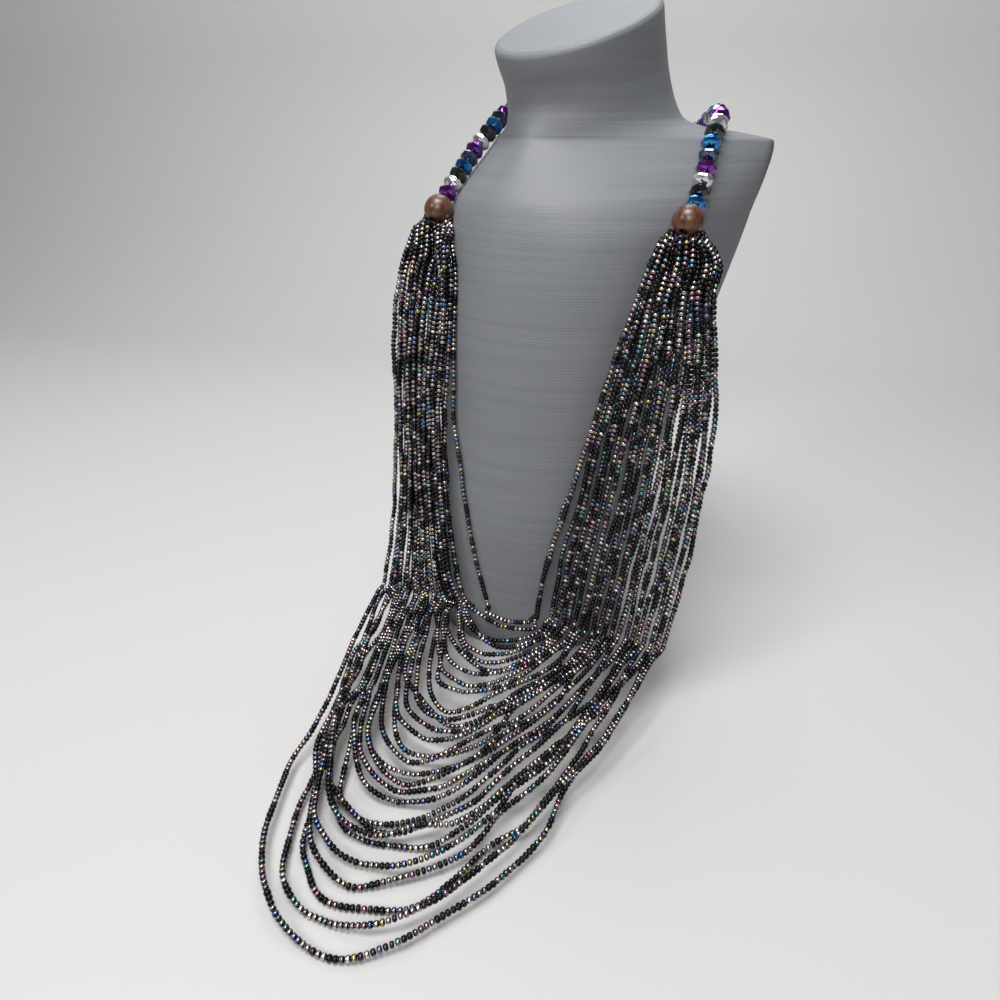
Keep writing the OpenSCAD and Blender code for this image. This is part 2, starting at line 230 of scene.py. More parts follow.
# shares for height, width, line, front and back, then the power, as in the part's own table
torsoRows = [
    (0.000, 0.00, 0.00, 0.00, 1.00, 2.10),
    (0.014, 0.04, 0.00, 0.03, 1.03, 2.10),
    (0.209, 0.12, 0.12, 0.18, 1.00, 2.10),
    (0.442, 0.31, 0.33, 0.39, 1.00, 2.00),
    (0.651, 0.58, 0.60, 0.76, 0.88, 2.00),
    (0.814, 0.83, 0.79, 0.97, 0.71, 1.90),
    (0.874, 0.92, 0.86, 1.00, 0.65, 1.70),
    (0.921, 0.98, 0.93, 0.90, 0.59, 1.45),
    (0.958, 1.00, 0.98, 0.77, 0.53, 1.28),
    (0.979, 0.97, 1.00, 0.68, 0.50, 1.22),
]
# the same for the neck, with a last column for how much of its cut's tilt a row has
neckRows = [
    (-0.050, 0.69, 0.90, 0.68, 0.56, 1.33, 0.00),
    (0.015, 0.32, 0.58, 0.436, 0.72, 1.52, 0.00),
    (0.076, 0.17, 0.40, 0.29, 0.86, 1.66, 0.00),
    (0.160, 0.10, 0.28, 0.185, 0.94, 1.76, 0.10),
    (0.300, 0.04, 0.145, 0.077, 0.98, 1.92, 0.25),
    (0.520, 0.00, 0.01, 0.02, 0.99, 2.00, 0.53),
    (0.790, 0.00, -0.13, 0.00, 0.99, 2.00, 0.90),
    (0.940, 0.00, -0.19, 0.00, 0.99, 2.00, 1.00),
    (0.980, -0.02, -0.21, -0.015, 0.96, 2.00, 1.00),
    (1.000, -0.06, -0.22, -0.05, 0.92, 2.00, 1.00),
]


def bustRows():
    b = bust
    neckHalf = b["neckWidth"] / 2
    slant = math.tan(math.radians(b["neckTilt"]))
    rows = [(
        r[0] * b["shoulderHeight"],
        mix(b["footWidth"], b["shoulderWidth"], r[1]) / 2,
        mix((b["footFront"] - b["footBack"]) / 2, b["shoulderY"], r[2]),
        mix(b["footFront"], b["chestFront"], r[3]),
        r[4] * b["footBack"],
        r[5],
        0.0,
    ) for r in torsoRows]
    return rows + [(
        b["shoulderHeight"] + r[0] * b["neckHeight"],
        mix(b["neckWidth"], b["shoulderWidth"], r[1]) / 2,
        mix(b["neckY"], b["shoulderY"], r[2]),
        mix(neckHalf, b["chestFront"], r[3]),
        r[4] * neckHalf,
        r[5],
        r[6] * slant,
    ) for r in neckRows]


bodyRows = bustRows()


# where the chest's surface is in front, at x and z, and far behind it beyond its sides
def chestFace(x, z):
    half, line, front, power = (lookUp(z, bodyRows, n) for n in (1, 2, 3, 5))
    if abs(x) >= half:
        return bust["shoulderY"] + bust["shoulderWidth"]
    return line - front * (1 - (abs(x) / half) ** power) ** (1 / power)


# rows between the table's rows, on a curve that doesn't overshoot
def finerRows(rows, steps):
    leastRise = 1e-6
    slopes = []
    for n, row in enumerate(rows):
        before, after = rows[max(n - 1, 0)], rows[min(n + 1, len(rows) - 1)]
        slope = []
        for column in range(len(row)):
            left = (row[column] - before[column]) / max(row[0] - before[0], leastRise)
            right = (after[column] - row[column]) / max(after[0] - row[0], leastRise)
            if n in (0, len(rows) - 1):
                slope.append(right if n == 0 else left)
            elif left * right <= 0:
                slope.append(0.0)
            else:
                slope.append(2 * left * right / (left + right))
        slopes.append(slope)
    made = []
    for n, (a, b) in enumerate(zip(rows, rows[1:])):
        span = b[0] - a[0]
        for step in range(steps):
            t = step / steps
            h = (2 * t ** 3 - 3 * t * t + 1, t ** 3 - 2 * t * t + t, 3 * t * t - 2 * t ** 3, t ** 3 - t * t)
            made.append(tuple(
                h[0] * a[c] + h[1] * span * slopes[n][c] + h[2] * b[c] + h[3] * span * slopes[n + 1][c]
                for c in range(len(a))))
    made.append(rows[-1])
    return made


def sectionPoint(row, turn):
    z, half, line, front, back, power, slant = row
    across, along = math.cos(turn), math.sin(turn)
    reach = back if along > 0 else front
    size = (abs(across / half) ** power + abs(along / reach) ** power) ** (-1 / power)
    y = line + size * along
    return Vector((size * across, y, z + slant * (y - bust["neckY"]))) * mm


def bustFinish(tree, place):
    layers = tree.stretched(place, (6, 6, 2400))
    fine = tree.noise(layers, 1.0, 2.0)
    bands = tree.noise(tree.stretched(place, (9, 9, 420)), 1.0, 3.0)
    cloud = tree.noise(place, 22.0, 2.0)
    tone = (fine - 0.5) * 0.30 + (bands - 0.5) * 0.34 + (cloud - 0.5) * 0.10 + 0.5
    dark = tuple(c * bust["darker"] for c in bust["colour"])
    light = tuple(c * bust["lighter"] for c in bust["colour"])
    # at this scale the ridges lie nearly two layers apart
    scale = 0.5 / (math.pi * bust["layerHeight"] * mm)
    ridge = tree.add("ShaderNodeTexWave", {"bands_direction": "Z"},
                     {"Vector": place, "Scale": scale, "Distortion": 0.6, "Detail": 1.0,
                      "Detail Scale": 0.05}, "Fac")
    height = ridge * 0.5 + fine * 0.5 + bands * 0.6
    return {
        "Base Color": tree.ramp(tone, [(0.25, dark), (0.75, light)]),
        "Roughness": (bands - 0.5) * 0.2 + 0.5,
        "Normal": tree.bump(height, 0.55, 0.00012),
    }


def makeBust():
    material = makeMaterial("bustPlastic", {"Specular IOR Level": 0.45}, bustFinish)
    bm = bmesh.new()
    rings = []
    for row in finerRows(bodyRows, bust["rowSteps"]):
        turns = (2 * math.pi * s / bust["sides"] for s in range(bust["sides"]))
        rings.append([bm.verts.new(sectionPoint(row, turn)) for turn in turns])
    joinRings(bm, rings)
    piece = finishPiece(bm, "bust_body", material)
    piece.data.polygons[-1].use_smooth = False
    piece.data.polygons[-2].use_smooth = False
    settle(piece, "bust", "bust")


makeBust()
print("bust made")


# where the necklace hangs

string = {
    "woodWidth": 12, "woodBore": 3, "count": 49, "crystalWidth": 8, "table": 3.8, "facets": 8,
    "bore": 1.4, "gap": 0.6, "shownEachSide": 11, "steps": 6, "spin": 0.8, "spinSeed": 7,
}
# across as a share of the bust's half width there, front, up, from wood bead to wood bead
crystalRoute = [
    (0.930, 0.654, -0.140), (0.903, 0.566, -0.116), (0.880, 0.516, -0.095),
    (0.860, 0.467, -0.073), (0.839, 0.415, -0.049), (0.825, 0.368, -0.025),
    (1.174, 0.293, 0.000), (1.397, 0.214, 0.085), (1.342, 0.149, 0.112),
    (1.261, 0.084, 0.114), (1.139, 0.010, 0.096), (0.979, -0.068, 0.067),
    (0.756, -0.154, 0.019), (0.435, -0.218, -0.011), (0.247, -0.266, -0.023),
    (0.058, -0.290, -0.029), (-0.130, -0.284, -0.027), (-0.284, -0.251, -0.019),
    (-0.552, -0.190, -0.003), (-0.890, -0.105, 0.071), (-1.022, -0.005, 0.114),
    (-1.113, 0.105, 0.149), (-1.160, 0.246, 0.173), (-1.091, 0.410, 0.119),
    (-0.769, 0.548, -0.002), (-0.558, 0.668, -0.036), (-0.542, 0.781, -0.067),
    (-0.525, 0.904, -0.100), (-0.514, 1.027, -0.140),
]
strands = {
    "count": 30, "width": 2.0, "longReach": 184, "shortReach": 36.5, "hangHalf": 71.5,
    "lieGap": 0.2, "swing": 18, "wornRight": 15.2, "wornFront": 4.1, "curveSteps": 16,
    "innerRight": 2, "innerLeft": 1,
}


def routePoint(r):
    z = bust["shoulderHeight"] + r[2] * (bust["neckHeight"] if r[2] > 0 else bust["shoulderHeight"])
    return Vector((r[0] * lookUp(z, bodyRows, 1), bust["shoulderY"] - r[1] * bust["chestFront"], z))


swing = Matrix.Rotation(math.radians(strands["swing"]), 3, "Z")
wornMiddle = Vector((strands["wornRight"], -strands["wornFront"], 0))


def worn(p):
    return swing @ Vector(p) + wornMiddle


def unworn(p):
    return swing.transposed() @ (p - wornMiddle)


# the same even curve as the part's string has
def bendPoint(a, b, c, d, t):
    square, cube = 2 * a - 5 * b + 4 * c - d, 3 * b - a - 3 * c + d
    return 0.5 * (2 * b + (c - a) * t + square * t * t + cube * t ** 3)


def makeStringPath():
    points = [routePoint(r) for r in crystalRoute]
    ends = [2 * points[0] - points[1]] + points + [2 * points[-1] - points[-2]]
    made = []
    for a, b, c, d in zip(ends, ends[1:], ends[2:], ends[3:]):
        made += [bendPoint(a, b, c, d, s / string["steps"]) for s in range(string["steps"])]
    made.append(points[-1])
    table = [(0.0, *made[0])]
    for a, b in zip(made, made[1:]):
        table.append((table[-1][0] + (b - a).length, *b))
    return table


stringTable = makeStringPath()
stringLength = stringTable[-1][0]
crystalPitch = (stringLength - string["woodWidth"]) / string["count"]
crystalLength = crystalPitch - string["gap"]


def onString(s):
    return Vector(lookUp(s, stringTable, n) for n in (1, 2, 3))


def alongString(s):
    half = crystalLength / 2
    return (onString(min(s + half, stringLength)) - onString(max(s - half, 0))).normalized()


def crystalPlace(i):
    return string["woodWidth"] / 2 + crystalPitch * (i + 0.5)


def standing(s, along, spin=0.0):
    turn = along.to_track_quat("Z", "Y").to_matrix().to_4x4()
    return Matrix.Translation(s * mm) @ turn @ Matrix.Rotation(spin, 4, "Z")


# crystals

# name, slot, and the coat's colour at its darkest and lightest
coats = [
    ("crystalBlue", "crystal_blue", (0.006, 0.085, 0.42), (0.02, 0.32, 0.62)),
    ("crystalBlack", "crystal_black", (0.002, 0.002, 0.003), (0.012, 0.012, 0.014)),
    ("crystalSilver", "crystal_silver", (0.50, 0.51, 0.53), (0.88, 0.89, 0.90)),
    ("crystalPurple", "crystal_purple", (0.035, 0.003, 0.20), (0.26, 0.03, 0.38)),
    ("crystalGrey", "crystal_grey", (0.030, 0.042, 0.085), (0.13, 0.16, 0.24)),
]


def coatFinish(low, high):
    def build(tree, place):
        patch = tree.noise(place, 260.0, 1.0)
        return {"Base Color": tree.ramp(patch, [(0.35, low), (0.68, high)])}
    return build


def makeCrystalMaterials():
    made = {}
    for name, slot, low, high in coats:
        glassy = name == "crystalBlack"
        fixed = {
            "Metallic": 0.15 if glassy else 0.9,
            "Roughness": 0.04,
            "Specular IOR Level": 0.7,
            "Coat Weight": 0.6,
            "Coat Roughness": 0.02,
        }
        made[slot] = makeMaterial(name, fixed, coatFinish(low, high))
    return made


crystalMaterials = makeCrystalMaterials()
slotOrder = [coat[1] for coat in coats]

# rings of a crystal's upper half, from the widest to the table: share of the radius, share of
# half the length, turned by half a step
crystalRings = [(1.00, 0.16, 0), (0.86, 0.56, 1), (string["table"] / string["crystalWidth"], 1.00, 0)]


def addCrystal(bm, matrix, materialIndex):
    facets = string["facets"]
    radius, half = string["crystalWidth"] / 2 * mm, crystalLength / 2 * mm
    bore = string["bore"] / 2 * mm

    def ring(r, z, turned):
        made = []
        for i in range(facets):
            turn = 2 * math.pi * (i + 0.5 * turned) / facets
            made.append(bm.verts.new(matrix @ Vector((r * math.cos(turn), r * math.sin(turn), z))))
        return made

    rings = []
    for share, height, turned in crystalRings[::-1]:
        rings.append((ring(share * radius, -height * half, turned), turned))
    for share, height, turned in crystalRings:
        rings.append((ring(share * radius, height * half, turned), turned))
    faces = []
    for (low, lowTurned), (high, highTurned) in zip(rings, rings[1:]):
        for i in range(facets):
            j = (i + 1) % facets
            if lowTurned == highTurned:
                faces.append((low[i], low[j], high[j], high[i]))
            elif highTurned:
                faces += [(low[i], low[j], high[i]), (low[j], high[j], high[i])]
            else:
                faces += [(low[i], high[j], high[i]), (low[i], low[j], high[j])]
    bottom, top = rings[0][0], rings[-1][0]
    boreLow, boreHigh = ring(bore, -half, 0), ring(bore, half, 0)
    for i in range(facets):
        j = (i + 1) % facets
        faces.append((bottom[j], bottom[i], boreLow[i], boreLow[j]))
        faces.append((top[i], top[j], boreHigh[j], boreHigh[i]))
        faces.append((boreLow[j], boreLow[i], boreHigh[i], boreHigh[j]))
    for corners in faces:
        bm.faces.new(corners).material_index = materialIndex


def makeCrystals():
    count, shown = string["count"], string["shownEachSide"]
    chance = random.Random(string["spinSeed"])
    hiddenMesh = bmesh.new()
    number = 0
    for i in range(count):
        s = crystalPlace(i)
        matrix = standing(onString(s), alongString(s), chance.uniform(0, string["spin"]))
        slot = slotOrder[i % len(slotOrder)]
        if shown <= i < count - shown:
            addCrystal(hiddenMesh, matrix, i % len(slotOrder))
            continue
        number += 1
        bm = bmesh.new()
        addCrystal(bm, matrix, 0)
        piece = finishPiece(bm, f"cut_crystal_{number:02d}", crystalMaterials[slot], smooth=False)
        settle(piece, slot, f"crystal_{number:02d}")
    piece = finishPiece(hiddenMesh, "cut_crystals_behind", crystalMaterials[slotOrder[0]], smooth=False)
    for slot in slotOrder[1:]:
        piece.data.materials.append(crystalMaterials[slot])
    settle(piece, "crystal_mixed", "hidden_crystals")


makeCrystals()
print("crystals made")


# wood beads

wood = {
    "colour": (0.105, 0.040, 0.022), "dark": (0.028, 0.010, 0.006), "lighter": 1.9, "rings": 26,
    "sides": 48, "lipWidth": 1.25, "lip": ((1.0, 0.90), (1.04, 0.97)),
}


def woodFinish(tree, place):
    mottle = tree.noise(tree.stretched(place, (1, 1, 0.45)), 420.0, 5.0, 0.62)
    grain = tree.noise(tree.stretched(place, (1, 1, 0.12)), 1500.0, 3.0)
    tone = mottle * 0.75 + grain * 0.25
    light = tuple(min(1, c * wood["lighter"]) for c in wood["colour"])
    return {
        "Base Color": tree.ramp(tone, [(0.34, wood["dark"]), (0.50, wood["colour"]), (0.68, light)]),
        "Roughness": (grain - 0.5) * 0.3 + 0.34,
        "Normal": tree.bump(tone, 0.3, 0.0002),
    }


def makeWoodBead(name, node, middle, along, material):
    radius, bore = string["woodWidth"] / 2, string["woodBore"] / 2
    edge = math.asin(bore / radius)
    start = edge * wood["lipWidth"]
    top = radius * math.cos(edge)
    profile = [(bore * wide, -top * high) for wide, high in wood["lip"]]
    for n in range(wood["rings"] + 1):
        turn = mix(start, math.pi - start, n / wood["rings"])
        profile.append((radius * math.sin(turn), -radius * math.cos(turn)))
    profile += [(bore * wide, top * high) for wide, high in wood["lip"][::-1]]
    bm = bmesh.new()
    matrix = standing(middle, along)
    rings = []
    for r, z in profile:
        turns = (2 * math.pi * s / wood["sides"] for s in range(wood["sides"]))
        places = [Vector((r * math.cos(t), r * math.sin(t), z)) * mm for t in turns]
        rings.append([bm.verts.new(matrix @ place) for place in places])
    rings.append(rings[0])
    joinRings(bm, rings, closedEnds=False)
    settle(finishPiece(bm, name, material), "wood", node)


woodMaterial = makeMaterial("woodBead", {"Coat Weight": 0.25, "Coat Roughness": 0.25}, woodFinish)
woodHalf = string["woodWidth"] / 2
rightPlace, leftPlace = routePoint(crystalRoute[0]), routePoint(crystalRoute[-1])
rightAlong, leftAlong = alongString(woodHalf), alongString(stringLength - woodHalf)
makeWoodBead("wood_bead_right_turned", "wood_bead_right", rightPlace, rightAlong, woodMaterial)
makeWoodBead("wood_bead_left_turned", "wood_bead_left", leftPlace, leftAlong, woodMaterial)


# the thread keeps its own solid, and only gets its finish
def threadFinish(tree, place):
    fibre = tree.noise(place, 6000.0, 2.0)
    return {
        "Base Color": tree.ramp(fibre, [(0.3, (0.24, 0.23, 0.25)), (0.7, (0.46, 0.45, 0.47))]),
        "Normal": tree.bump(fibre, 0.4, 0.00005),
    }


threadMaterial = makeMaterial("beadThread", {"Roughness": 0.6}, threadFinish)
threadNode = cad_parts["thread"]
threadNode.data.materials.clear()
threadNode.data.materials.append(threadMaterial)
print("wood beads and thread made")


# strands of seed beads

# height, right in, right out, right gap, left in, left out, left gap, inner y, outer y, layer, lift
strandRows = [
    (0.876, 0.531, 0.902, 0.00, 0.503, 0.830, 0.00, 0.070, 0.140, 1.40, 0.00),
    (0.757, 0.448, 0.960, 0.00, 0.524, 0.860, 0.00, 0.161, 0.196, 1.20, 0.00),
    (0.605, 0.350, 0.990, 0.00, 0.524, 0.870, 0.08, 0.238, 0.224, 1.20, 0.00),
    (0.454, 0.259, 0.990, 0.03, 0.455, 0.870, 0.18, 0.308, 0.266, 1.15, 0.00),
    (0.303, 0.175, 0.962, 0.05, 0.350, 0.870, 0.24, 0.385, 0.336, 1.10, 0.00),
    (0.173, 0.123, 0.920, 0.07, 0.245, 0.880, 0.22, 0.448, 0.455, 1.00, 0.30),
    (0.076, 0.098, 0.885, 0.07, 0.200, 0.905, 0.12, 0.476, 0.559, 0.70, 0.90),
]
# reach over the floor, how far to the left the tip lies, how round the left side is
strandTips = [
    (0.000, -0.03, 0.36), (0.037, 0.00, 0.36), (0.085, 0.04, 0.36), (0.132, 0.07, 0.36),
    (0.159, 0.08, 0.36), (0.180, 0.10, 0.36), (0.205, 0.11, 0.36), (0.230, 0.13, 0.36),
    (0.261, 0.14, 0.36), (0.290, 0.15, 0.36), (0.356, 0.17, 0.36), (0.378, 0.18, 0.36),
    (0.399, 0.18, 0.36), (0.444, 0.20, 0.36), (0.466, 0.20, 0.36), (0.488, 0.21, 0.36),
    (0.514, 0.21, 0.36), (0.566, 0.21, 0.36), (0.593, 0.21, 0.36), (0.617, 0.21, 0.36),
    (0.661, 0.20, 0.36), (0.700, 0.20, 0.36), (0.727, 0.18, 0.36), (0.754, 0.17, 0.36),
    (0.783, 0.15, 0.36), (0.808, 0.14, 0.36), (0.858, 0.11, 0.36), (0.905, 0.08, 0.35),
    (0.953, 0.06, 0.34), (1.000, 0.03, 0.28),
]
cluster = {
    "columns": (3, 4, 4, 4, 4, 4, 4, 3), "pitch": 2.52, "forward": 3.4, "gap": 0.35,
    "leastDrop": 2.52, "layers": 3, "swell": (1.1, 1.3), "swellTo": (0.7, -0.14),
    "easeInner": 0.42, "easeOuter": 0.72, "easeY": 0.4,
}
# how far a strand wanders from its even curve, and how it lies on the others on the floor
wander = {
    "fine": 0.4, "fineEvery": 9.0, "broad": 3.8, "broadEvery": 22.0, "below": 30.0, "hanging": 0.7,
    "hangingDepth": 0.3, "hangingBelow": 165.0, "hangingRise": 3, "bunch": 3.5, "bunchPull": 0.15,
    "overFloor": 0.1, "fineSeed": 40, "broadSeed": 340,
}
pile = {"width": 2.15, "below": 12.0, "slopeBelow": 24.0, "slope": 0.20, "rounds": 2, "seed": 5}
landing = {
    "steps": (0.8, 0.36, 0.07), "rightBow": 0.5, "footLift": 3.5, "out": 3.0,
    "later": 2.0, "climb": 6.0, "pile": 1.1, "leastWay": 0.3, "slack": 1.2,
}
dome = {"inward": 0.62, "lower": 0.42, "away": 0.62, "leastDrop": 2}
woodSeen = {1: unworn(rightPlace), -1: unworn(leftPlace)}
lie = strands["width"] / 2 + strands["lieGap"]
lastStrand = strands["count"] - 1


# the layer a strand hangs in, from the back; the sides count in opposite orders
def layerOf(k, side):
    layers = cluster["layers"]
    return (layers - k % layers) % layers if side > 0 else k % layers


def columnOf(k):
    first = 0
    for column, size in enumerate(cluster["columns"]):
        if k < first + size:
            return column, range(first, first + size)
        first += size


# place in its column from the back, ordered by layer and then from the outer side in
def rankOf(k, side):
    members = columnOf(k)[1]
    return sorted(members, key=lambda q: (layerOf(q, side), -q)).index(k)


def capPoint(k, side):
    column, members = columnOf(k)
    across = (column - (len(cluster["columns"]) - 1) / 2) * cluster["pitch"] * math.sqrt(3) / 2
    back = ((len(members) - 1) / 2 - rankOf(k, side)) * cluster["pitch"]
    inner = max(0, math.hypot(across, back - cluster["forward"]) - strands["width"] / 2)
    drop = max(math.sqrt(max(0, woodHalf ** 2 - inner ** 2)), cluster["leastDrop"])
    seen = woodSeen[side]
    front, under = cluster["forward"] - back, drop + cluster["gap"]
    return Vector((seen.x + side * across, seen.y - front, seen.z - under))


def rowPoint(k, side, r, layered=True):
    gap = r[3] if side > 0 else r[6]
    c = k / lastStrand
    share = c if k < strands["innerRight" if side > 0 else "innerLeft"] else mix(gap, 1, c)
    inside, outside = (r[1], r[2]) if side > 0 else (r[4], r[5])
    lift = layerOf(k, side) * strands["width"]
    return Vector((
        side * mix(inside, outside, share) * strands["hangHalf"],
        -mix(r[7], r[8], share) * strands["hangHalf"] - (0 if layered else lift * r[9]),
        r[0] * woodSeen[side].z + lift * r[10],
    ))


def swellPoint(k, side):
    top, low = capPoint(k, side), rowPoint(k, side, strandRows[0], layered=False)
    start = woodSeen[side] - Vector((0, cluster["forward"], 0))
    goal = Vector((side * cluster["swellTo"][0], cluster["swellTo"][1], 0)) * strands["hangHalf"]
    easeX = mix(cluster["easeInner"], cluster["easeOuter"], k / lastStrand)
    easeY = cluster["easeY"]
    midX, midY = mix(start.x, goal.x, easeX), mix(start.y, goal.y, easeY)
    return Vector((
        midX + cluster["swell"][0] * (mix(top.x, low.x, easeX) - midX),
        midY + cluster["swell"][1] * (mix(top.y, low.y, easeY) - midY),
        mix(top.z, low.z, 0.5),
    ))


def swellClear(k, side):
    backOne = [q for q in columnOf(k)[1] if rankOf(q, side) == 0][0]
    back = worn(swellPoint(backOne, side))
    push = min(0, chestFace(back.x, back.z) - landing["slack"] * lie - back.y)
    return worn(swellPoint(k, side)) + Vector((0, push, 0))


def clearOfBust(p, over):
    q = worn(p)
    q.y = min(q.y, chestFace(q.x, q.z) - landing["slack"] * lie) - over
    return q


# strands lie in bunches on the floor, so a tip is drawn towards the middle one of its bunch
def tipOf(k):
    middle = (math.floor(k / wander["bunch"]) + 0.5) * wander["bunch"] - 0.5
    low = min(int(middle), lastStrand - 1)
    even = mix(strandTips[low][0], strandTips[low + 1][0], middle - low)
    reach = mix(strandTips[k][0], even, wander["bunchPull"] if 2 < k < lastStrand - 1 else 0)
    return -strandTips[k][1] * strands["hangHalf"], -mix(strands["shortReach"], strands["longReach"], reach)


def liftOf(k):
    return landing["footLift"] if k == 0 else 0


def floorPoint(k, side, d):
    land = rowPoint(k, side, strandRows[-1], layered=False)
    tipX, tipY = tipOf(k)
    start = land.y - landing["out"] - landing["later"] * k / lastStrand
    way = max(start - tipY, landing["leastWay"])
    bow = d ** (strandTips[k][2] if side < 0 else landing["rightBow"])
    over = layerOf(k, side) * landing["pile"] * strands["width"] * min(1, d * way / landing["climb"])
    return worn((mix(tipX, land.x, bow), tipY + way * d, lie + liftOf(k) + over))


# the visible beads come from under the wood bead, the outer ones lower down
def domeStart(k, side):
    forward = Vector((0, cluster["forward"], 0))
    cap, seen = capPoint(k, side), woodSeen[side] - forward
    out = Vector((cap.x - seen.x, cap.y - seen.y, 0))
    reach = woodHalf + strands["width"] * dome["away"]
    inner = out * dome["inward"]
    first = seen + inner
    drop = math.sqrt(max(reach ** 2 - (inner + forward).length_squared, dome["leastDrop"] ** 2))
    first.z = seen.z - drop
    second = cap - Vector((0, 0, dome["lower"] * out.length))
    return [worn(first), worn(second)]


def halfStrand(k, side):
    width = strands["width"]
    hanging = [clearOfBust(rowPoint(k, side, r), layerOf(k, side) * r[9] * width) for r in strandRows]
    lying = [floorPoint(k, side, d) for d in landing["steps"]]
    return domeStart(k, side) + [swellClear(k, side)] + hanging + lying


def strandPath(k):
    tipX, tipY = tipOf(k)
    tip = worn((tipX, tipY, lie + liftOf(k)))
    return halfStrand(k, 1) + [tip] + halfStrand(k, -1)[::-1]


# a tree that threads small beads on whatever path it is given
seedBead = {
    "pitch": 1.85, "radius": 0.81, "wall": 0.38, "stretch": 2.2, "around": 8, "profile": 6,
    "tilt": 8.0, "darkShare": 0.33, "darkRun": 2, "darkWider": 0.05, "width": (0.90, 1.03),
    "length": (0.80, 1.04), "thread": 0.11, "threadSides": 4, "threadStep": 3, "seed": 100,
    "seedStep": 17,
}


def makeBeadTree():
    group = bpy.data.node_groups.new("beadsOnPath", "GeometryNodeTree")
    tree = Tree(group)
    sockets = [
        ("Geometry", "NodeSocketGeometry", None),
        ("Pitch", "NodeSocketFloat", seedBead["pitch"] * mm),
        ("Radius", "NodeSocketFloat", seedBead["radius"] * mm),
        ("Wall", "NodeSocketFloat", seedBead["wall"] * mm),
        ("Seed", "NodeSocketInt", 1),
        ("Bead Material", "NodeSocketMaterial", None),
        ("Thread Material", "NodeSocketMaterial", None),
    ]
    for name, kind, value in sockets:
        made = group.interface.new_socket(name, in_out="INPUT", socket_type=kind)
        if value is not None:
            made.default_value = value
    group.interface.new_socket("Geometry", in_out="OUTPUT", socket_type="NodeSocketGeometry")
    given = group.nodes.new("NodeGroupInput")
    inputs = {s.name: Wire(tree, s) for s in given.outputs if s.name}
    seed = inputs["Seed"]

    # one bead: a round wall swept round a circle
    ringCurve = tree.add("GeometryNodeCurvePrimitiveCircle", {},
                         {"Resolution": seedBead["around"], "Radius": inputs["Radius"]})
    wall = tree.add("GeometryNodeCurvePrimitiveCircle", {},
                    {"Resolution": seedBead["profile"], "Radius": inputs["Wall"]})
    turned = {"Geometry": wall, "Rotation": (0, 0, math.pi / seedBead["profile"])}
    wall = tree.add("GeometryNodeTransform", {}, turned)
    stretched = {"Geometry": wall, "Scale": (1.0, seedBead["stretch"], 1.0)}
    wall = tree.add("GeometryNodeTransform", {}, stretched)
    bead = tree.add("GeometryNodeCurveToMesh", {}, {"Curve": ringCurve, "Profile Curve": wall})
    parts = tree.add("ShaderNodeSeparateXYZ", {}, {0: tree.add("GeometryNodeInputPosition")}, 2)
    # how near each point lies to the bead's ends, which the bead finish uses to paint shade there
    end = parts.math("ABSOLUTE") / (seedBead["wall"] * seedBead["stretch"] * mm)
    bead = tree.add("GeometryNodeStoreNamedAttribute", {"data_type": "FLOAT", "domain": "POINT"},
                    {"Geometry": bead, "Name": "beadEnd", "Value": end})
    bead = tree.add("GeometryNodeSetShadeSmooth", {}, {"Geometry": bead})

    # the path, and what differs from bead to bead
    curve = tree.add("GeometryNodeMeshToCurve", {}, {"Mesh": inputs["Geometry"]})
    paced = {"Curve": curve, "Length": inputs["Pitch"]}
    path = tree.add("GeometryNodeResampleCurve", {"mode": "LENGTH"}, paced)
    index = tree.add("GeometryNodeInputIndex")
    tangent = tree.add("GeometryNodeInputTangent")
    turn = tree.add("FunctionNodeAlignRotationToVector", {"axis": "Z"}, {"Vector": tangent})
    tilt = math.radians(seedBead["tilt"])
    wobble = tree.add("FunctionNodeRandomValue", {"data_type": "FLOAT_VECTOR"},
                      {0: (-tilt, -tilt, -math.pi), 1: (tilt, tilt, math.pi), 7: index, 8: seed}, 0)
    turn = tree.add("FunctionNodeRotateRotation", {"rotation_space": "LOCAL"}, {0: turn, 1: wobble})
    run = (index / seedBead["darkRun"]).math("FLOOR")
    dark = tree.add("FunctionNodeRandomValue", {"data_type": "BOOLEAN"},
                    {"Probability": seedBead["darkShare"], 7: run, 8: seed + 11}, 3)

    def drawn(span, shift):
        values = {2: span[0], 3: span[1], 7: index, 8: seed + shift}
        return tree.add("FunctionNodeRandomValue", {"data_type": "FLOAT"}, values, 1)

    width = drawn(seedBead["width"], 5) + dark * seedBead["darkWider"]
    size = tree.add("ShaderNodeCombineXYZ", {}, {0: width, 1: width, 2: drawn(seedBead["length"], 6)})
    tone = drawn((0.0, 1.0), 3)
    beads = tree.add("GeometryNodeInstanceOnPoints", {},
                     {"Points": path, "Instance": bead, "Rotation": turn, "Scale": size})
    for name, value in (("beadTone", tone), ("beadDark", dark)):
        beads = tree.add("GeometryNodeStoreNamedAttribute", {"data_type": "FLOAT", "domain": "INSTANCE"},
                         {"Geometry": beads, "Name": name, "Value": value})

    # the thread that carries them
    core = tree.add("GeometryNodeCurvePrimitiveCircle", {},
                    {"Resolution": seedBead["threadSides"], "Radius": seedBead["thread"] * mm})
    sparse = tree.add("GeometryNodeResampleCurve", {"mode": "LENGTH"},
                      {"Curve": curve, "Length": inputs["Pitch"] * seedBead["threadStep"]})
    thread = tree.add("GeometryNodeCurveToMesh", {},
                      {"Curve": sparse, "Profile Curve": core, "Fill Caps": True})

    # two materials, so each kind gets its own and they are joined last
    beads = tree.add("GeometryNodeRealizeInstances", {}, {"Geometry": beads})
    beads = tree.add("GeometryNodeSetMaterial", {}, {"Geometry": beads, "Material": inputs["Bead Material"]})
    thread = tree.add("GeometryNodeSetMaterial", {},
                      {"Geometry": thread, "Material": inputs["Thread Material"]})
    both = tree.add("GeometryNodeJoinGeometry", {}, {0: [beads, thread]})
    out = group.nodes.new("NodeGroupOutput")
    tree.put(out.inputs[0], both)
    return group
